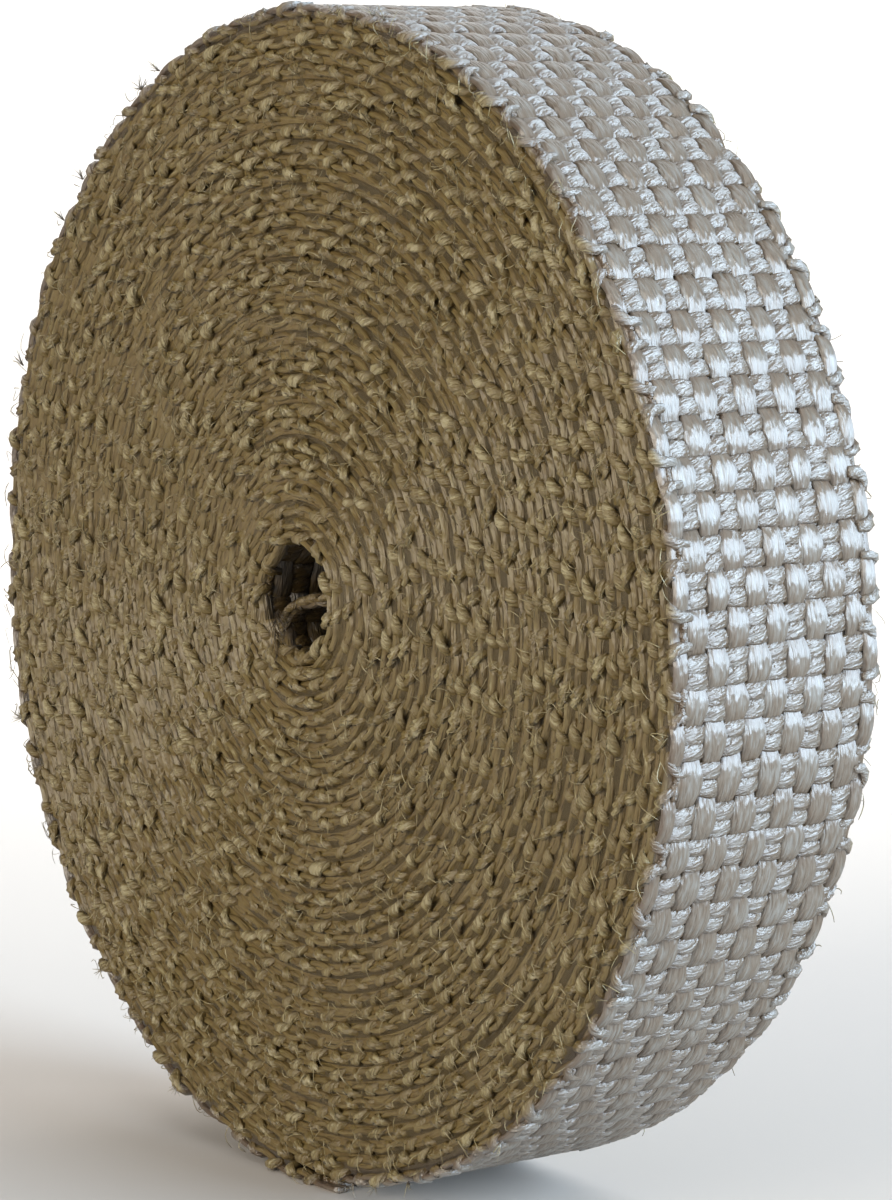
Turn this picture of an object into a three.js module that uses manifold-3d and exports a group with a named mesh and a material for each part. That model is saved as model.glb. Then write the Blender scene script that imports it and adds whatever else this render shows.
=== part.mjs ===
// Exhaust heat wrap: one woven glass-fibre tape, wound flat on itself into a roll.
// Millimetres, +Z up. The roll stands on its rim on the plane Z = 0, with its axis along Y and the
// middle of its foot at the origin. Angles are seen from the end that faces -Y: 0 is +X, 90 is up.
// The tape's inner end crosses the bore, as a split winding spindle leaves it. From there the tape
// winds outwards anticlockwise, and its outer end lies under the roll, pinned by the roll's weight.
import * as THREE from "three";
import { mergeVertices } from "three/addons/utils/BufferGeometryUtils.js";
import Module from "manifold-3d";

// The tape
const tapeWidth = 26; // over the loops of both woven edges
const tapeThickness = 1.5; // one layer, pressed by the winding
const edgeBulge = 0.4; // how far the middle of a turn's edge stands out of the grooves beside it

// The winding
const boreDiameter = 11.6; // where the first turn begins
const boreOffset = -1.4; // from the rim's middle to the bore's, along X
const wholeTurns = 36;
const innerEndAngle = 195; // degrees, where the inner end leaves the bore's wall
const outerEndAngle = 275; // degrees, where the outer end lies
const flatsPerTurn = 36; // straight steps that stand for one round turn

// The inner end, where it crosses the bore
const innerEndRecess = 1.2; // how far its edges lie inside the grooves of the roll's ends
const innerEndGrip = 0.6; // how far it is pressed into the wall that it reaches
const innerBendRadius = 1.6; // on the inside of the bend from the wall into the bore

const boreRadius = boreDiameter / 2;
const stepAngle = (2 * Math.PI) / flatsPerTurn;
const startAngle = THREE.MathUtils.degToRad(innerEndAngle);
const partTurn = (((outerEndAngle - innerEndAngle) % 360) + 360) % 360 / 360;
const woundSteps = Math.round((wholeTurns + partTurn) * flatsPerTurn);
const grooveY = tapeWidth / 2 - edgeBulge;
const crownY = tapeWidth / 2;

// Radius of the tape's inner surface, a number of steps after its inner end.
function woundRadius(step) {
  return boreRadius + (tapeThickness * step) / flatsPerTurn;
}

// The turns lie a little closer on one side, so their middle moves from the bore's to the rim's.
function woundMiddle(step) {
  return boreOffset * (1 - step / (woundSteps + flatsPerTurn));
}

// A point of the winding: at a step's angle, some way out from the inner surface there.
function woundPoint(step, outward, y) {
  const radius = woundRadius(step) + outward;
  const angle = startAngle + step * stepAngle;
  return new THREE.Vector3(woundMiddle(step) + radius * Math.cos(angle), y, radius * Math.sin(angle));
}

// The wound turns as one body. Each turn touches the next along a spiral groove on both ends, and
// between two grooves its edge bulges out to a crown. The bore's wall and the rim are the tape's own
// two surfaces, and each closes with a step, as thick as the tape, at the tape's cut end.
function woundTurns() {
  const grooves = woundSteps + flatsPerTurn + 1;
  const crowns = woundSteps + 1;
  const points = [];
  for (const side of [-1, 1]) {
    for (let step = 0; step < grooves; step++) points.push(woundPoint(step, 0, side * grooveY));
    for (let step = 0; step < crowns; step++) {
      points.push(woundPoint(step, tapeThickness / 2, side * crownY));
    }
  }
  const sideSize = grooves + crowns;
  const groove = (side, step) => side * sideSize + step;
  const crown = (side, step) => side * sideSize + grooves + step;

  const index = [];
  // Four corners, anticlockwise as seen from outside.
  const quad = (a, b, c, d) => index.push(a, b, c, a, c, d);
  for (let step = 0; step < woundSteps; step++) {
    const next = step + 1;
    const outer = step + flatsPerTurn;
    quad(groove(0, step), crown(0, step), crown(0, next), groove(0, next));
    quad(crown(0, step), groove(0, outer), groove(0, outer + 1), crown(0, next));
    quad(groove(1, step), groove(1, next), crown(1, next), crown(1, step));
    quad(crown(1, step), crown(1, next), groove(1, outer + 1), groove(1, outer));
  }
  for (let step = 0; step < flatsPerTurn; step++) {
    const onRim = step + woundSteps;
    quad(groove(0, step), groove(0, step + 1), groove(1, step + 1), groove(1, step));
    quad(groove(0, onRim), groove(1, onRim), groove(1, onRim + 1), groove(0, onRim + 1));
  }
  closeTapeEnd(0, false);
  closeTapeEnd(woundSteps, true);

  // The tape's cut end at a step: a flat face from its inner to its outer surface.
  function closeTapeEnd(step, facesOn) {
    const rim = [
      groove(0, step), groove(1, step), crown(1, step),
      groove(1, step + flatsPerTurn), groove(0, step + flatsPerTurn), crown(0, step),
    ];
    if (facesOn) rim.reverse();
    for (let i = 1; i < rim.length - 1; i++) index.push(rim[0], rim[i], rim[i + 1]);
  }

  const geometry = new THREE.BufferGeometry().setFromPoints(points);
  geometry.setIndex(index);
  return geometry;
}

// The inner end: straight across the bore through its middle, from where the first turn begins to
// the wall opposite, with the tape's bend rounded on the side that the first turn leaves to.
function innerEnd() {
  const half = tapeThickness / 2;
  const nearWall = woundRadius(0);
  const farWall = woundRadius(flatsPerTurn / 2);
  const bend = half + innerBendRadius;
  const bendWall = Math.sqrt(nearWall ** 2 - bend ** 2);
  const seat = nearWall + half;
  const outline = new THREE.Shape();
  outline.moveTo(-farWall - innerEndGrip, -half);
  outline.lineTo(seat, -half);
  outline.lineTo(seat, bend);
  outline.lineTo(bendWall, bend);
  outline.quadraticCurveTo(nearWall - half / 2, half, bendWall - innerBendRadius, half);
  outline.lineTo(-farWall - innerEndGrip, half);
  outline.closePath();
  const depth = 2 * (grooveY - innerEndRecess);
  const geometry = new THREE.ExtrudeGeometry(outline, { depth, bevelEnabled: false, curveSegments: 5 });
  // The outline's plane becomes XZ, and its first axis points to the inner end's angle.
  geometry.translate(0, 0, -depth / 2);
  geometry.rotateX(Math.PI / 2);
  geometry.rotateY(-startAngle);
  geometry.translate(woundMiddle(0), 0, 0);
  return geometry;
}

const wasm = await Module();
wasm.setup();

function toSolid(geometry) {
  const bare = geometry.clone();
  bare.deleteAttribute("normal");
  bare.deleteAttribute("uv");
  const merged = mergeVertices(bare, 1e-4);
  const vertProperties = new Float32Array(merged.attributes.position.array);
  const triVerts = new Uint32Array(merged.index.array);
  return new wasm.Manifold(new wasm.Mesh({ numProp: 3, vertProperties, triVerts }));
}

function toGeometry(solid) {
  const { vertProperties, triVerts } = solid.getMesh();
  const geometry = new THREE.BufferGeometry();
  geometry.setAttribute("position", new THREE.BufferAttribute(vertProperties, 3));
  geometry.setIndex(new THREE.BufferAttribute(triVerts, 1));
  geometry.computeVertexNormals();
  return geometry;
}

// Stands the roll on the last flat before the tape's outer end: that flat is turned level, and the
// roll is moved so that its foot is at Z = 0 and its middle over the origin.
function standOnFloor(geometry) {
  const heel = woundPoint(woundSteps + flatsPerTurn - 1, 0, 0);
  const toe = woundPoint(woundSteps + flatsPerTurn, 0, 0);
  geometry.rotateY(Math.atan2(toe.z - heel.z, toe.x - heel.x));
  geometry.computeBoundingBox();
  const { min, max } = geometry.boundingBox;
  geometry.translate(-(min.x + max.x) / 2, 0, -min.z);
  return geometry;
}

const glassTape = new THREE.MeshStandardMaterial({
  name: "glass_tape",
  color: 0xa8946c,
  roughness: 0.8,
  metalness: 0,
});

const rolled = toSolid(woundTurns()).add(toSolid(innerEnd()));
const heatWrapRoll = new THREE.Mesh(standOnFloor(toGeometry(rolled)), glassTape);
heatWrapRoll.name = "heat_wrap_roll";

const part = new THREE.Group();
part.name = "exhaust_heat_wrap";
part.add(heatWrapRoll);

export default part;
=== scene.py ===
import math

import bpy
import numpy as np
from mathutils import Matrix, Vector


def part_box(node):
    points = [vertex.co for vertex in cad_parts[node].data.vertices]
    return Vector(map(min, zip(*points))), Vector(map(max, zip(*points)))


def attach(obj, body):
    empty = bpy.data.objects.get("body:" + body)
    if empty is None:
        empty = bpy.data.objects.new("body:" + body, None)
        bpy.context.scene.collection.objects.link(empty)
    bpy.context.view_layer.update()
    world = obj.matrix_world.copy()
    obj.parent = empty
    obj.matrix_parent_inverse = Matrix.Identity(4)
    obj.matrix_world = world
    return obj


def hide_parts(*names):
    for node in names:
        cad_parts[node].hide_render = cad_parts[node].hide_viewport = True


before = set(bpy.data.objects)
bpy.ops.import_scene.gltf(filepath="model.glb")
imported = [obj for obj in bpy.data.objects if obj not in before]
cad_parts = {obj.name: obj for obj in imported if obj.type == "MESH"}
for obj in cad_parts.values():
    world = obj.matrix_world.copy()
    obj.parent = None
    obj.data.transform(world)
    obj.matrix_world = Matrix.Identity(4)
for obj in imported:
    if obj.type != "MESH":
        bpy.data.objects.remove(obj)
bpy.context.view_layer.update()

roll_low, roll_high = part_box("heat_wrap_roll")
rng = np.random.default_rng(11)

# Lengths are in metres. The roll's axis is along Y, and angles are seen from the end that faces -Y:
# 0 is +X and 90 is up. "Along" is along the tape from its inner end, "rise" is out of the tape's
# middle away from the bore, and Y is across the tape.
MM = 0.001

# The tape and its winding, as the solid has them
TAPE_WIDTH = roll_high.y - roll_low.y
TAPE_THICKNESS = 1.5 * MM
BORE_RADIUS = 5.8 * MM
BORE_OFFSET = -1.4 * MM
INNER_END_ANGLE = math.radians(195)
OUTER_END_ANGLE = math.radians(275)
WHOLE_TURNS = 36
INNER_BEND_RADIUS = 1.6 * MM
TURNS = WHOLE_TURNS + (OUTER_END_ANGLE - INNER_END_ANGLE) / math.tau
ROLL_MIDDLE = Vector((TAPE_THICKNESS / 4, 0, (roll_high.z + TAPE_THICKNESS / 2) / 2))
ROLL_RADIUS = roll_high.z / 2

# The innermost turns lie looser than the rest: a little into the bore, and aside of its middle
LOOSE_TURNS = 10
LOOSE_INWARD = 1.0 * MM
LOOSE_X, LOOSE_Z = -0.5 * MM, -0.3 * MM
BORE_MIDDLE = np.array([ROLL_MIDDLE.x + BORE_OFFSET + LOOSE_X, ROLL_MIDDLE.z + LOOSE_Z])

# The weave: two weft strands in each pick, and flat warp ends over and under the picks
PICK_PITCH = 3.6 * MM
WARP_ENDS = 11
END_PITCH = TAPE_WIDTH / WARP_ENDS
HALF_THICKNESS = TAPE_THICKNESS / 2
WARP_HALF_HEIGHT = 0.34 * MM
WEFT_HALF_HEIGHT = 0.38 * MM
WEFT_HALF_WIDTH = 0.95 * MM
STRAND_SPREAD = 0.80 * MM
YARN_CLEARANCE = 0.03 * MM  # from the tape's two surfaces
INNER_END_RECESS = 1.2 * MM

# The woven edges: how deep the edge's warp end lies and how it swings, and the weft's loops round it
EDGE_END_DEPTH = 1.38 * MM
EDGE_END_SWING = 0.36 * MM
EDGE_END_HALF_WIDTH, EDGE_END_HALF_HEIGHT = 0.92 * MM, 0.38 * MM
LOOP_START = 0.90 * MM
LOOP_SWING = 0.42 * MM
LOOP_DEPTH = 0.60 * MM
LOOP_ENDS_DEEPER = 1.9 * MM
LOOP_HALF_WIDTH, LOOP_HALF_HEIGHT = 0.68 * MM, 0.46 * MM

# The camera: where the photograph was taken from, by the roll's place and size in it
PHOTO_WIDTH, PHOTO_HEIGHT = 892, 1200
CAMERA_AZIMUTH = 54.0
CAMERA_ELEVATION = 7.1
FOCAL_PIXELS = 4000
END_MIDDLE_X, END_MIDDLE_Y = 298.6, 605.8
END_DISTANCE = 6.733 * ROLL_RADIUS


# Where the tape lies

INNER_END_STEPS = 24  # of its straight, and of its bend
WOUND_STEPS = 9000


def smooth_step(x, low, high):
    """0 below low and 1 above high, with a smooth rise between."""
    t = ((x - low) / (high - low)).clip(0, 1)
    return t * t * (3 - 2 * t)


def wound(turns, out):
    """X and Z of places in the winding: so many turns from the bore's wall, and out of the tape's
    inner side by a share of its thickness."""
    loose = 1 - smooth_step(turns + out, 1, LOOSE_TURNS)
    radius = BORE_RADIUS + TAPE_THICKNESS * (turns + out) - LOOSE_INWARD * loose
    angle = INNER_END_ANGLE + math.tau * turns
    aside = BORE_OFFSET * (1 - turns / (TURNS + 1)) + LOOSE_X * loose
    x = ROLL_MIDDLE.x + aside + radius * np.cos(angle)
    return x, ROLL_MIDDLE.z + LOOSE_Z * loose + radius * np.sin(angle)


def tape_path():
    """Points of the tape's middle in X and Z, how far along each lies, its heading and its turn.

    The inner end runs straight across the bore, and then bends round into the first turn.
    """
    start_radius = BORE_RADIUS - LOOSE_INWARD + 0.6 * TAPE_THICKNESS
    bend = INNER_BEND_RADIUS + HALF_THICKNESS
    leave = math.sqrt((start_radius - bend) ** 2 - bend**2)
    meet = math.atan2(bend, leave)
    far_wall = -BORE_RADIUS - 0.4 * TAPE_THICKNESS
    straight = np.linspace(far_wall, leave, INNER_END_STEPS, endpoint=False)
    sweep = np.linspace(-math.pi / 2, meet, INNER_END_STEPS, endpoint=False)
    turn = np.linspace(meet / math.tau, TURNS, WOUND_STEPS)
    inner_end = np.concatenate([
        np.stack([straight, 0 * straight], 1),
        np.stack([leave + bend * np.cos(sweep), bend + bend * np.sin(sweep)], 1),
    ])
    turns = np.concatenate([np.zeros(len(inner_end)), turn])
    c, s = math.cos(INNER_END_ANGLE), math.sin(INNER_END_ANGLE)
    points = np.concatenate([
        inner_end @ np.array([[c, s], [-s, c]]) + BORE_MIDDLE,
        np.stack(wound(turn, 0.5), 1),
    ])
    steps = np.diff(points, axis=0)
    along = np.concatenate([[0], np.cumsum(np.hypot(*steps.T))])
    heading = np.unwrap(np.arctan2(steps[:, 1], steps[:, 0]))
    heading = np.interp(along, (along[1:] + along[:-1]) / 2, heading)
    return points, along, heading, turns


PATH, PATH_ALONG, PATH_HEADING, PATH_TURN = tape_path()
TAPE_LENGTH = PATH_ALONG[-1]


def along_at(turn):
    """How far along the tape a turn is reached."""
    before = 2 * INNER_END_STEPS - 1  # points of the inner end, but for its last
    return np.interp(turn, PATH_TURN[before:], PATH_ALONG[before:])


def place(along, y, rise):
    """Points of the tape in X, Y and Z, and the directions of its length and of its rise there."""
    along, y, rise = np.broadcast_arrays(along, y, rise)
    heading = np.interp(along, PATH_ALONG, PATH_HEADING)
    outward = np.stack([np.sin(heading), 0 * heading, -np.cos(heading)], -1)
    forward = np.stack([np.cos(heading), 0 * heading, np.sin(heading)], -1)
    middle = np.stack([
        np.interp(along, PATH_ALONG, PATH[:, 0]),
        y,
        np.interp(along, PATH_ALONG, PATH[:, 1]),
    ], -1)
    return middle + outward * rise[..., None], forward, outward


# Where the picks lie

def pick_places():
    """How far along the tape each pick lies: a pitch apart, but never quite evenly."""
    gaps = 1 + 0.09 * rng.standard_normal(int(TAPE_LENGTH / PICK_PITCH))
    ends = np.cumsum(gaps.clip(0.7, 1.3))
    return (ends - 0.5) * TAPE_LENGTH / (ends[-1] + 0.3)


PICKS = pick_places()


def pick_at(along):
    """The number of the pick at a place along the tape, with parts of a pitch."""
    return np.interp(along, PICKS, np.arange(len(PICKS)))


def wander(along, rows, size, step=PICK_PITCH):
    """A smooth random swing of up to size each way, different in each row."""
    first = int(np.min(along) / step)
    count = int(np.max(along) / step) - first + 3
    knots = rng.uniform(-size, size, (np.size(rows), count))
    place_in = along / step - first
    low = np.floor(place_in).astype(int)
    share = smooth_step(place_in - low, 0, 1)
    row = np.arange(np.size(rows)).reshape(np.shape(rows))
    return knots[row, low] * (1 - share) + knots[row, low + 1] * share


def weave_wave(x):
    """1 at even whole numbers and -1 at odd ones, flat-topped and steep between."""
    return np.sin(1.25 * np.cos(math.pi * x)) / math.sin(1.25)


# Meshes

def new_mesh(name, points, faces, fibre, strand, lift, tone, flat_map=None):
    """An object from points and faces, with what its material reads at each point.

    strand is the direction of the fibres, and flat_map gives each corner's place on the picture
    that the piece's colours can be baked to.
    """
    points = points.copy()
    points[:, 2] = points[:, 2].clip(0)  # the roll's weight presses its foot flat
    mesh = bpy.data.meshes.new(name)
    mesh.vertices.add(len(points))
    mesh.vertices.foreach_set("co", np.ascontiguousarray(points, np.float32).ravel())
    sizes = np.array([len(face) for face in faces])
    corners = np.concatenate([np.asarray(face) for face in faces])
    mesh.loops.add(len(corners))
    mesh.loops.foreach_set("vertex_index", corners.astype(np.int32))
    mesh.polygons.add(len(sizes))
    mesh.polygons.foreach_set("loop_start", (np.cumsum(sizes) - sizes).astype(np.int32))
    mesh.polygons.foreach_set("use_smooth", np.ones(len(sizes), bool))
    for label, kind, key, values in (
        ("fibre", "FLOAT_VECTOR", "vector", fibre),
        ("strand", "FLOAT_VECTOR", "vector", strand),
        ("lift", "FLOAT", "value", lift),
        ("tone", "FLOAT", "value", tone),
        ("rim_sheen", "FLOAT", "value", rim_sheen_share(points)),
    ):
        layer = mesh.attributes.new(label, kind, "POINT")
        layer.data.foreach_set(key, np.ascontiguousarray(values, np.float32).ravel())
    if flat_map is not None:
        layer = mesh.uv_layers.new(name="OFBake")
        layer.uv.foreach_set("vector", np.ascontiguousarray(flat_map, np.float32).ravel())
    mesh.update(calc_edges=True)
    mesh.validate()
    made = bpy.data.objects.new(name, mesh)
    bpy.context.scene.collection.objects.link(made)
    return made


def unit(v):
    return v / np.maximum(np.linalg.norm(v, axis=-1, keepdims=True), 1e-12)


def yarn_map(count, rings, sides):
    """A place on the unit square for each corner of a mesh of yarns: a square of its own for each
    yarn, with its length up and its girth across. Its two ends lie beside it."""
    per_row = math.ceil(math.sqrt(count))
    yarn = np.arange(count)
    corner = np.stack([yarn % per_row, yarn // per_row], -1)
    ring, side = np.meshgrid(np.arange(rings - 1), np.arange(sides), indexing="ij")
    ring = np.stack([ring, ring + 1, ring + 1, ring], -1) / (rings - 1)
    side = np.stack([side, side, side + 1, side + 1], -1) / sides
    walls = np.stack([0.04 + 0.80 * side, 0.04 + 0.92 * ring], -1).reshape(1, -1, 2)
    turn = np.arange(sides) * math.tau / sides
    disc = np.stack([0.91 + 0.05 * np.cos(turn), 0.05 * np.sin(turn)], -1)
    caps = np.stack([disc + (0, 0.2), disc[::-1] + (0, 0.7)])
    walls = (corner[:, None] + walls) / per_row
    caps = (corner[None, :, None] + caps[:, None]) / per_row
    return np.concatenate([walls.reshape(-1, 2), caps.reshape(-1, 2)])


def yarns(name, centres, side, half_width, half_height, sides, lift, flatness=0.8, twist=0.0):
    """Closed yarns as one mesh: yarn by yarn, rings of points round the centres.

    side is roughly the direction of a yarn's width, and lift says how high a point lies in the
    weave. The fibres run along each yarn, or round it where it has a twist, in turns per metre.
    """
    count, rings = centres.shape[:2]
    ahead = unit(np.gradient(centres, axis=1))
    up = unit(np.cross(ahead, side))
    side = np.cross(up, ahead)
    angle = np.arange(sides) * math.tau / sides
    cos, sin = np.cos(angle), np.sin(angle)
    cos, sin = (np.sign(v) * np.abs(v) ** flatness for v in (cos, sin))
    across = np.broadcast_to(half_width, (count, rings))[..., None] * cos
    above = np.broadcast_to(half_height, (count, rings))[..., None] * sin
    points = (centres[:, :, None] + side[:, :, None] * across[..., None]
              + up[:, :, None] * above[..., None])
    length = np.cumsum(np.linalg.norm(np.diff(centres, axis=1, prepend=centres[:, :1]), axis=-1), 1)
    turned = math.tau * twist * length[..., None]
    start = rng.uniform(0, 200, (count, 3))[:, None, None] * MM
    fibre = np.stack([
        np.broadcast_to(length[..., None], across.shape),
        across * np.cos(turned) - above * np.sin(turned),
        across * np.sin(turned) + above * np.cos(turned),
    ], -1) + start
    offset = points - centres[:, :, None]
    strand = unit(ahead[:, :, None] + math.tau * twist * np.cross(ahead[:, :, None], offset))
    tone = np.broadcast_to(rng.uniform(0, 1, count)[:, None, None], across.shape)
    index = np.arange(count * rings * sides).reshape(count, rings, sides)
    here, there = index[:, :-1], index[:, 1:]
    walls = np.stack([here, there, np.roll(there, -1, 2), np.roll(here, -1, 2)], -1).reshape(-1, 4)
    caps = np.concatenate([index[:, 0], index[:, -1, ::-1]])
    faces = list(walls) + list(caps)
    points = points.reshape(-1, 3)
    flat_map = yarn_map(count, rings, sides)
    fibre, strand = fibre.reshape(-1, 3), strand.reshape(-1, 3)
    return new_mesh(name, points, faces, fibre, strand, lift(points), tone.ravel(), flat_map)


def face_lift(points):
    """How far a point lies out of the plane of the roll's nearer end."""
    return np.abs(points[:, 1]) - TAPE_WIDTH / 2


def rim_lift(points):
    """How far a point lies out of the rim's surface."""
    flat = points[:, [0, 2]] - np.array([ROLL_MIDDLE.x, ROLL_MIDDLE.z])
    angle = np.arctan2(flat[:, 1], flat[:, 0])
    back = ((OUTER_END_ANGLE - angle) % math.tau) / math.tau
    surface = BORE_RADIUS + TAPE_THICKNESS * (TURNS - back + 1)
    return np.hypot(*flat.T) - surface


def bore_lift_and_shade(points):
    """How far a point of the bore's wall lies into the bore, less some of its way from the end,
    which paints shade that darkens deeper into the bore.
    """
    inward = BORE_RADIUS - np.hypot(*(points[:, [0, 2]] - BORE_MIDDLE).T)
    # Painted shade: the further a point lies from the roll's ends, the darker its colour
    return inward.clip(None, 0) - 0.8 * (TAPE_WIDTH / 2 - np.abs(points[:, 1]))


def rim_sheen_share(points):
    """The share of the rim's painted sheen: 1 on the rim, whose yarns take a silvery colour that stands
    in for the cool light they reflect, and 0 elsewhere.
    """
    on_rim = smooth_step(rim_lift(points), -1.15 * MM, -0.75 * MM)
    return on_rim * smooth_step(TAPE_WIDTH / 2 - np.abs(points[:, 1]), 0.15 * MM, 0.65 * MM)


def edge_lift(points):
    """How far a point of the tape's edges lies out of the roll's end, or of its rim."""
    share = rim_sheen_share(points)
    return face_lift(points) * (1 - share) + rim_lift(points) * share


# The woven stretches of the tape that show: the bore's wall and the rim

def warp(name, start, end, ends, lift, rings_per_pick=6, sides=10):
    """Warp ends of a stretch of the tape, by their places across it."""
    rings = int((end - start) / PICK_PITCH * rings_per_pick)
    along = np.linspace(start, end, rings)[None]
    ends = np.asarray(ends)[:, None]
    wave = weave_wave(pick_at(along) + ends)
    lean = wander(along, ends, 0.20 * MM)
    y = (ends + 0.5) * END_PITCH - TAPE_WIDTH / 2 + lean
    reach = HALF_THICKNESS - WARP_HALF_HEIGHT - YARN_CLEARANCE
    centres, _, _ = place(along, y, wave * reach * (1 - wander(along, ends, 0.15) ** 2))
    across = np.zeros_like(centres)
    across[..., 1] = 1
    half_width = END_PITCH * (0.47 + 0.17 * wave.clip(0) ** 2) * (1 + wander(along, ends, 0.10))
    return yarns(name, centres, across, half_width, WARP_HALF_HEIGHT, sides, lift, 0.75)


def weft(name, start, end, lift, points_per_end=3, sides=8):
    """Weft strands of a stretch of the tape, from one edge's warp end to the other's."""
    picks = np.nonzero((PICKS > start) & (PICKS < end))[0]
    pick = np.repeat(picks, 2)[:, None]
    strand = np.tile([-1, 1], len(picks))[:, None]
    reach = TAPE_WIDTH / 2 - END_PITCH * 0.75
    y = np.linspace(-reach, reach, (WARP_ENDS - 1) * points_per_end)[None]
    wave = -weave_wave(pick + (y + TAPE_WIDTH / 2) / END_PITCH - 0.5)
    across = y + TAPE_WIDTH / 2
    bow = np.repeat(wander(across, picks[:, None], 0.22 * MM, 2 * END_PITCH), 2, axis=0)
    bow = bow + wander(across, pick, 0.10 * MM, END_PITCH)
    along = PICKS[pick] + strand * STRAND_SPREAD + bow
    rise = wave * (HALF_THICKNESS - WEFT_HALF_HEIGHT - YARN_CLEARANCE)
    centres, forward, _ = place(along, y, rise)
    half_width = WEFT_HALF_WIDTH * (1 + wander(across, pick, 0.10, END_PITCH))
    return yarns(name, centres, forward, half_width, WEFT_HALF_HEIGHT, sides, lift, 0.9, twist=160)


# The woven edges, which make the roll's two ends

EDGE_KNOTS = rng.uniform(-1, 1, (4, int(TAPE_LENGTH / PICK_PITCH / 2) + 2))


def edge_place(along, face):
    """Where the tape's edge lies in Y and in rise: a little out of line, wandering along the tape,
    and further in where the inner end crosses the bore."""
    knots = EDGE_KNOTS[:2] if face < 0 else EDGE_KNOTS[2:]
    at = np.arange(knots.shape[1]) * PICK_PITCH * 2
    inward = 0.26 * MM * (1 - np.interp(along, at, knots[0]))
    inward = inward + INNER_END_RECESS * (1 - smooth_step(along, 2 * BORE_RADIUS, 3 * BORE_RADIUS))
    settled = smooth_step(TAPE_LENGTH - along, 0, PICK_PITCH * 100)
    return face * (TAPE_WIDTH / 2 - inward), 0.30 * MM * np.interp(along, at, knots[1]) * settled


def edge_warp(name, face):
    """The warp end at one edge, all along the tape."""
    along = np.linspace(0, TAPE_LENGTH, len(PICKS) * 4)[None]
    end = 0 if face < 0 else WARP_ENDS - 1
    wave = weave_wave(pick_at(along) + end)
    y, rise = edge_place(along, face)
    centres, _, _ = place(along, y - face * EDGE_END_DEPTH, rise + wave * EDGE_END_SWING)
    across = np.zeros_like(centres)
    across[..., 1] = 1
    half_width, half_height = EDGE_END_HALF_WIDTH, EDGE_END_HALF_HEIGHT
    return yarns(name, centres, across, half_width, half_height, 6, edge_lift, 0.85)


def edge_loops(name, face):
    """The weft's loops round one edge: each goes from one pick to the next, over the edge's warp
    end from one side of the tape to the other."""
    count = len(PICKS) - 1
    end = 0 if face < 0 else WARP_ENDS - 1
    pick = np.arange(count)[:, None]
    way = np.linspace(0, 1, 7)[None]
    side = np.where((pick + end) % 2 == 0, -1, 1)
    wobble = rng.normal(0, 1, (6, count, 1)).clip(-2, 2)
    begins, finishes, lifts, bulges, widens, thickens = wobble
    begin = PICKS[:-1, None] + LOOP_START + 0.25 * begins * MM
    finish = PICKS[1:, None] - LOOP_START - 0.25 * finishes * MM
    along = begin + (finish - begin) * (0.5 - 0.5 * np.cos(math.pi * way))
    reach = np.sin(math.pi * way) ** 0.6
    depth = LOOP_DEPTH - 0.20 * bulges * MM + LOOP_ENDS_DEEPER * (1 - reach)
    y, rise = edge_place(along, face)
    rise = rise + side * np.cos(math.pi * way) * LOOP_SWING + 0.16 * lifts * MM
    centres, forward, _ = place(along, y - face * depth, rise)
    half_width = (LOOP_HALF_WIDTH + 0.10 * widens * MM) * (0.7 + 0.3 * reach)
    half_height = LOOP_HALF_HEIGHT + 0.05 * thickens * MM
    return yarns(name, centres, forward, half_width, half_height, 6, edge_lift, 0.95, twist=220)


# The turns between the rim and the bore's wall, under their woven edges

def inner_turns():
    """The wound turns as one closed body, with a groove on both ends between each turn and the next."""
    segments = 96
    first, last = 1.02, TURNS - 0.02
    steps = int((last - first - 1) * segments)
    crest_y = TAPE_WIDTH / 2 - 1.10 * MM
    groove_y = TAPE_WIDTH / 2 - 1.35 * MM
    rows = steps + segments + 1
    turn = first + np.arange(rows) / segments
    points, faces = [], []

    def spiral(turns, out, y):
        x, z = wound(turns, out)
        return np.stack([x, np.full_like(x, y), z], 1)

    crests = steps + 1
    lifted = 0.45 * (np.arange(rows) > steps)
    for face in (-1, 1):
        points += [spiral(turn, lifted, face * groove_y), spiral(turn[:crests], 0.5, face * crest_y)]
    size = rows + crests
    for row in range(steps):
        out = row + segments
        c = rows + row
        faces += [
            (row, c, c + 1, row + 1), (c, out, out + 1, c + 1),
            (size + row, size + row + 1, size + c + 1, size + c),
            (size + c, size + c + 1, size + out + 1, size + out),
        ]
    for row in range(segments):
        out = row + steps
        faces += [
            (row, row + 1, size + row + 1, size + row),
            (out, size + out, size + out + 1, out + 1),
        ]
    for row, flip in ((0, False), (steps, True)):
        c = rows + row
        out = row + segments
        cap = (row, size + row, size + c, size + out, out, c)
        faces.append(cap[::-1] if flip else cap)
    points = np.concatenate(points)
    outward = (points - ROLL_MIDDLE) * (1, 0, 1)
    along = along_at(turn)
    along = np.tile(np.concatenate([along, along[:crests]]), 2)
    fibre = np.stack([along, points[:, 1], np.linalg.norm(outward, axis=1)], 1)
    strand = unit(np.cross((0, 1, 0), outward))
    tone = np.full(len(points), 0.5)
    return new_mesh("inner_turns", points, faces, fibre, strand, face_lift(points), tone)


# Loose fibres

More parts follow.
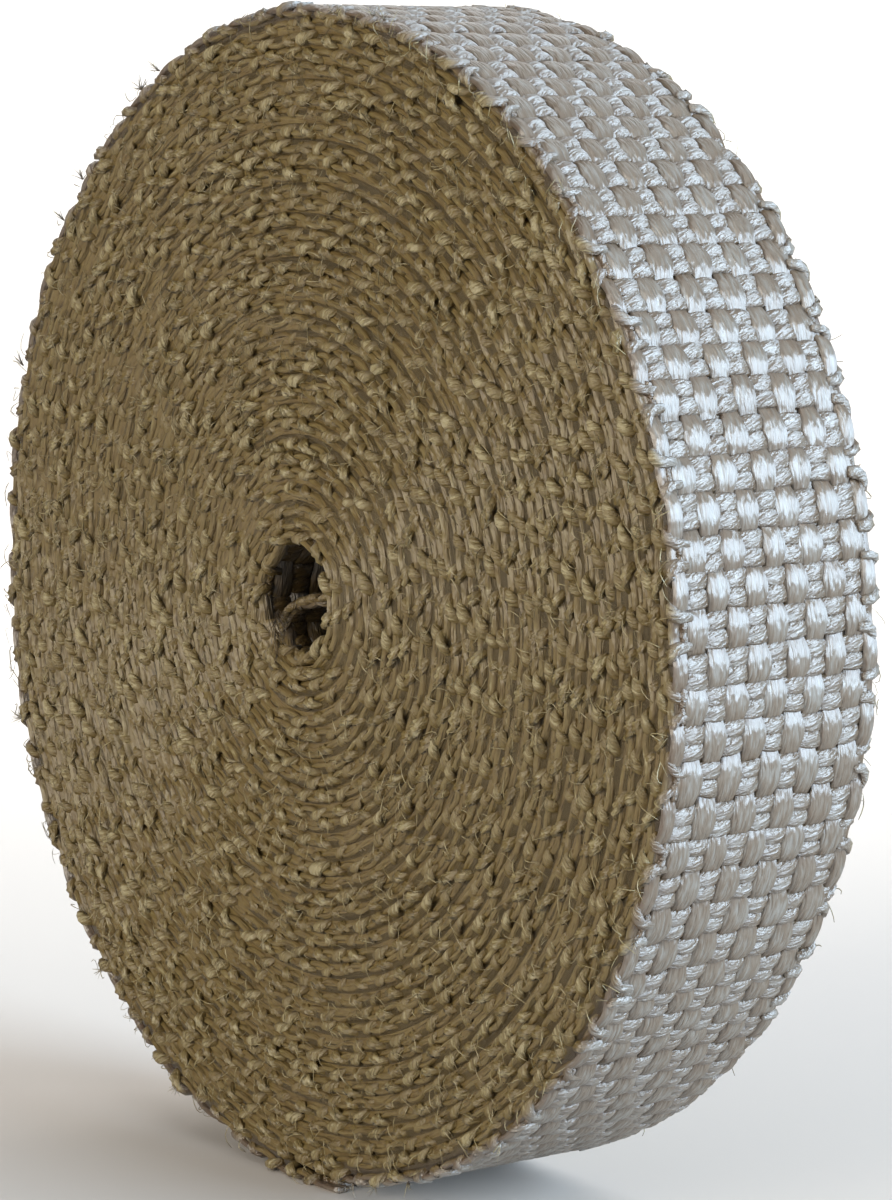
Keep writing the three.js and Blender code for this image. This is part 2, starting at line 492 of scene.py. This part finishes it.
def loose_fibres(name, count, face):
    """Fine curved fibres that lie on one end of the roll and stand off it."""
    turn = np.sqrt(rng.uniform(0.02, 1, (count, 1))) * TURNS
    along = along_at(turn)
    way = np.linspace(-0.5, 0.5, 5)[None]
    length = rng.uniform(0.8, 3.0, (count, 1)) * MM
    lean = rng.uniform(0, math.tau, (count, 1))
    curl = rng.normal(0, 1, (3, count, 1))
    u = along + length * way * np.cos(lean) + curl[0] * 0.4 * MM * way**2 * 4
    v = length * way * np.sin(lean) + curl[1] * 0.5 * MM * way**2 * 4
    y = face * (TAPE_WIDTH / 2 + (0.10 + 0.12 * curl[2].clip(-1, 2)) * MM - 1.6 * MM * way**2)
    centres, forward, _ = place(u, y, v)
    radius = rng.uniform(0.03, 0.07, (count, 1)) * MM * (1 - 1.6 * way**2)
    return yarns(name, centres, forward + 0.01, radius, radius, 3, edge_lift, 1.0)


def tuft_fibres(name, bases, towards, count, spread, length):
    """Tufts of broken fibres that fan out from their bases."""
    bases = np.repeat(bases, count, axis=0)
    towards = np.repeat(towards, count, axis=0) + rng.normal(0, spread, bases.shape)
    length = rng.uniform(0.5, 1.0, (len(bases), 1, 1)) * length
    way = np.linspace(0, 1, 4)[None, :, None]
    bend = rng.normal(0, 0.25, (len(bases), 1, 3))
    centres = bases[:, None] + length * (way * unit(towards)[:, None] + way**2 * bend)
    radius = rng.uniform(0.04, 0.09, (len(bases), 1)) * MM * (1 - 0.7 * way[..., 0])
    across = np.broadcast_to((0.3, 0.2, 1.0), centres.shape)
    return yarns(name, centres, across, radius, radius, 3, rim_lift, 1.0)


def border_tufts(name, face, count):
    """Tufts along the border of the rim and one end, out of the weave's edge."""
    along = rng.uniform(along_at(TURNS - 1), TAPE_LENGTH - 4 * MM, count)
    bases, forward, outward = place(along, face * (TAPE_WIDTH / 2 - 0.9 * MM), 0.55 * MM)
    towards = 0.8 * outward + forward * rng.uniform(-0.8, 0.8, (count, 1))
    towards = towards + np.array([0, face, 0]) * rng.uniform(0.1, 0.9, (count, 1))
    return tuft_fibres(name, bases, towards, 12, 0.30, 1.7 * MM)


def inner_end_tuft(name):
    """The frayed fibres of the tape's first bend, at the mouth of the bore."""
    along = 2 * BORE_RADIUS + rng.uniform(-1.5, 2.5, 5) * MM
    bases, forward, _ = place(along, -TAPE_WIDTH / 2 + 1.2 * MM, 0.3 * MM)
    towards = 0.4 * forward + np.array([0.9, -0.3, -0.5])
    return tuft_fibres(name, bases, towards, 7, 0.30, 3.2 * MM)


# Materials

# From deep in the weave to its crests, on the roll's ends and on its rim: painted shade deep down,
# painted highlight on the crests
END_SHADE_RAMP = (
    (0.0, (0.050, 0.031, 0.012)),
    (0.35, (0.142, 0.095, 0.035)),
    (0.65, (0.172, 0.122, 0.045)),
    (0.85, (0.192, 0.143, 0.056)),
    (1.0, (0.320, 0.265, 0.140)),
)
# The rim's colours are greyer and cooler than the ends': painted sheen
RIM_SHADE_RAMP = (
    (0.0, (0.080, 0.045, 0.022)),
    (0.4, (0.120, 0.078, 0.046)),
    (0.75, (0.152, 0.116, 0.082)),
    (1.0, (0.212, 0.188, 0.158)),
)


def fibre_material():
    """Glass yarn, streaked along its fibres: golden brown, and a painted silvery sheen where it lies
    on the rim. Both have painted shade down in the weave and a painted highlight on its crests."""
    made = bpy.data.materials.new("glass_fibre_yarn")
    made.use_nodes = True
    nodes, links = made.node_tree.nodes, made.node_tree.links
    shader = nodes["Principled BSDF"]

    def node(kind, inputs=(), **settings):
        new = nodes.new(kind)
        for key, value in settings.items():
            setattr(new, key, value)
        for socket, value in dict(inputs).items():
            if isinstance(value, bpy.types.NodeSocket):
                links.new(value, new.inputs[socket])
            else:
                new.inputs[socket].default_value = value
        return new

    def attribute(name, output="Fac"):
        return node("ShaderNodeAttribute", attribute_name=name).outputs[output]

    def noise(scale, detail):
        """Noise with so many swings a metre along the fibres and across them."""
        stretched = node("ShaderNodeVectorMath", {0: fibre, 1: scale}, operation="MULTIPLY")
        inputs = {"Vector": stretched.outputs[0], "Scale": 1, "Detail": detail}
        return node("ShaderNodeTexNoise", inputs).outputs["Fac"]

    def add(a, b, share):
        """a plus a share of what b is more than a half."""
        centred = node("ShaderNodeMath", {0: b, 1: 0.5}, operation="SUBTRACT").outputs[0]
        inputs = {0: centred, 1: share, 2: a}
        return node("ShaderNodeMath", inputs, operation="MULTIPLY_ADD").outputs[0]

    def colours(level, stops):
        """Colours by level, from 0 to 1."""
        ramp = node("ShaderNodeValToRGB", {"Fac": level})
        elements = ramp.color_ramp.elements
        elements[0].position, elements[0].color = stops[0][0], (*stops[0][1], 1)
        elements[1].position, elements[1].color = stops[-1][0], (*stops[-1][1], 1)
        for position, colour in stops[1:-1]:
            elements.new(position).color = (*colour, 1)
        return ramp.outputs["Color"]

    fibre = attribute("fibre", "Vector")
    streaks = noise((350, 6500, 6500), 3)
    # The plies' slanted strokes are the yarns' grain, and in the colour they also stand in for glints:
    # painted highlight strokes
    ply_grain_and_glints = noise((700, 2600, 2600), 1)
    patches = noise((150, 400, 400), 2)
    tones = attribute("tone")

    def level(low, high):
        """How high a point lies between two lifts, from 0 to 1, varied by the yarns' own grain. The
        colour ramps paint shade where it is low and a highlight where it is high.
        """
        inputs = {"Value": attribute("lift"), "From Min": low, "From Max": high}
        height = node("ShaderNodeMapRange", inputs).outputs[0]
        return add(add(add(add(height, streaks, 0.6), ply_grain_and_glints, 1.0), tones, 0.12), patches, 0.3)

    # Painted shade down in the weave and a painted highlight on its crests, by how high each point lies
    end = colours(level(-2.6 * MM, 0.1 * MM), END_SHADE_RAMP)
    rim = colours(level(-1.3 * MM, 0.2 * MM), RIM_SHADE_RAMP)
    # Painted sheen: on the rim the yarns take the silvery rim colours instead of the golden brown
    mixed = node("ShaderNodeMix", data_type="RGBA")
    links.new(attribute("rim_sheen"), mixed.inputs["Factor"])
    links.new(end, mixed.inputs[6])
    links.new(rim, mixed.inputs[7])
    links.new(mixed.outputs[2], shader.inputs["Base Color"])

    links.new(attribute("strand", "Vector"), shader.inputs["Tangent"])
    shader.inputs["Anisotropic"].default_value = 0.95
    shader.inputs["Anisotropic Rotation"].default_value = 0.25
    shader.inputs["Roughness"].default_value = 0.45
    shader.inputs["IOR"].default_value = 1.9
    shine = node("ShaderNodeMapRange", {"Value": attribute("rim_sheen"), "To Min": 0.35, "To Max": 0.85})
    links.new(shine.outputs[0], shader.inputs["Specular IOR Level"])
    inputs = {"Height": ply_grain_and_glints, "Strength": 0.9, "Distance": 0.35 * MM}
    bump = node("ShaderNodeBump", inputs)
    inputs = {"Height": streaks, "Strength": 0.6, "Distance": 0.12 * MM, "Normal": bump.outputs[0]}
    bump = node("ShaderNodeBump", inputs)
    links.new(bump.outputs[0], shader.inputs["Normal"])
    return made


def plain_material(name, colour, roughness):
    made = bpy.data.materials.new(name)
    made.use_nodes = True
    shader = made.node_tree.nodes["Principled BSDF"]
    shader.inputs["Base Color"].default_value = (*colour, 1)
    shader.inputs["Roughness"].default_value = roughness
    return made


# The stage

def make_stage():
    """A light floor that sweeps up into a backdrop behind the roll."""
    half, front, depth, height, bend = 1.6, -1.6, 1.3, 1.6, 0.5
    profile = [(front, 0.0), (depth - bend, 0.0)]
    profile += [(depth - bend + bend * math.sin(a), bend - bend * math.cos(a))
                for a in np.linspace(0, math.pi / 2, 16)[1:]]
    profile.append((depth, height))
    turned = Matrix.Rotation(math.radians(CAMERA_AZIMUTH), 4, "Z")
    verts = [turned @ Vector((x, y, z)) for x in (-half, half) for y, z in profile]
    count = len(profile)
    faces = [(i, i + count, i + count + 1, i + 1) for i in range(count - 1)]
    mesh = bpy.data.meshes.new("floor")
    mesh.from_pydata(verts, [], faces)
    mesh.polygons.foreach_set("use_smooth", np.ones(len(faces), bool))
    floor = bpy.data.objects.new("floor", mesh)
    bpy.context.scene.collection.objects.link(floor)
    mesh.materials.append(plain_material("pale_floor", (0.57, 0.53, 0.49), 0.9))


def make_light(name, azimuth, elevation, distance, size, power, colour, aim=(0, 0, ROLL_RADIUS)):
    """A square lamp that faces what it is aimed at from a distance."""
    lamp = bpy.data.lights.new(name, "AREA")
    lamp.size = size
    lamp.energy = power
    lamp.color = colour
    made = bpy.data.objects.new(name, lamp)
    a, e = math.radians(azimuth), math.radians(elevation)
    away = Vector((math.sin(a) * math.cos(e), -math.cos(a) * math.cos(e), math.sin(e)))
    made.location = Vector(aim) + away * distance
    made.rotation_euler = away.to_track_quat("Z", "Y").to_euler()
    bpy.context.scene.collection.objects.link(made)


def make_camera():
    """Looks down a little at the roll, whose near end's middle lies left of the picture's middle."""
    a, e = math.radians(CAMERA_AZIMUTH), math.radians(CAMERA_ELEVATION)
    ahead = Vector((-math.sin(a) * math.cos(e), math.cos(a) * math.cos(e), -math.sin(e)))
    right = Vector((math.cos(a), math.sin(a), 0))
    up = right.cross(ahead)
    target = Vector((ROLL_MIDDLE.x, roll_low.y, ROLL_RADIUS))
    aside = (END_MIDDLE_X - PHOTO_WIDTH / 2) / FOCAL_PIXELS * END_DISTANCE
    below = (END_MIDDLE_Y - PHOTO_HEIGHT / 2) / FOCAL_PIXELS * END_DISTANCE
    data = bpy.data.cameras.new("camera")
    data.sensor_width = 36
    data.lens = data.sensor_width * FOCAL_PIXELS / PHOTO_HEIGHT
    data.clip_start = 0.01
    camera = bpy.data.objects.new("camera", data)
    camera.location = target - END_DISTANCE * ahead - aside * right + below * up
    camera.rotation_mode = "QUATERNION"
    camera.rotation_quaternion = (-ahead).to_track_quat("Z", "Y")
    bpy.context.scene.collection.objects.link(camera)
    bpy.context.scene.camera = camera


make_camera()
make_stage()
make_light("key", 115, 16, 1.8, 1.3, 82.0, (0.65, 0.82, 1.0))
make_light("front_fill", 8, 14, 1.8, 0.9, 27.0, (1.0, 0.94, 0.82))
make_light("top", 70, 70, 1.0, 0.7, 2.0, (0.90, 0.95, 1.0))
behind = Matrix.Rotation(math.radians(CAMERA_AZIMUTH), 4, "Z") @ Vector((0, 0.95, 0))
make_light("backdrop", CAMERA_AZIMUTH, 60, 0.7, 0.8, 9.0, (1.0, 1.0, 1.0), behind)
world = bpy.data.worlds.new("studio")
world.use_nodes = True
background = world.node_tree.nodes["Background"]
background.inputs["Color"].default_value = (0.92, 0.94, 1.0, 1)
background.inputs["Strength"].default_value = 0.18
bpy.context.scene.world = world
bpy.context.scene.view_settings.view_transform = "Standard"

# The pieces: all are one woven tape
last_turn = along_at(TURNS - 1) - 2 * MM
first_turn_end = along_at(1.08)
inner_ends = range(1, WARP_ENDS - 1)
pieces = [
    warp("rim_warp", last_turn, TAPE_LENGTH, inner_ends, rim_lift),
    weft("rim_weft", last_turn, TAPE_LENGTH, rim_lift),
    warp("bore_warp", 0, first_turn_end, inner_ends, bore_lift_and_shade, 8, 8),
    weft("bore_weft", 0, first_turn_end, bore_lift_and_shade),
    edge_warp("front_edge_warp", -1),
    edge_loops("front_edge_loops", -1),
    edge_warp("back_edge_warp", 1),
    edge_loops("back_edge_loops", 1),
    inner_turns(),
    loose_fibres("front_loose_fibres", 2600, -1),
    loose_fibres("back_loose_fibres", 1200, 1),
    border_tufts("front_border_tufts", -1, 16),
    inner_end_tuft("inner_end_tuft"),
]
glass_fibre = fibre_material()
for piece in pieces:
    piece.data.materials.append(glass_fibre)
    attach(piece, "root")
    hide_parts("heat_wrap_roll")
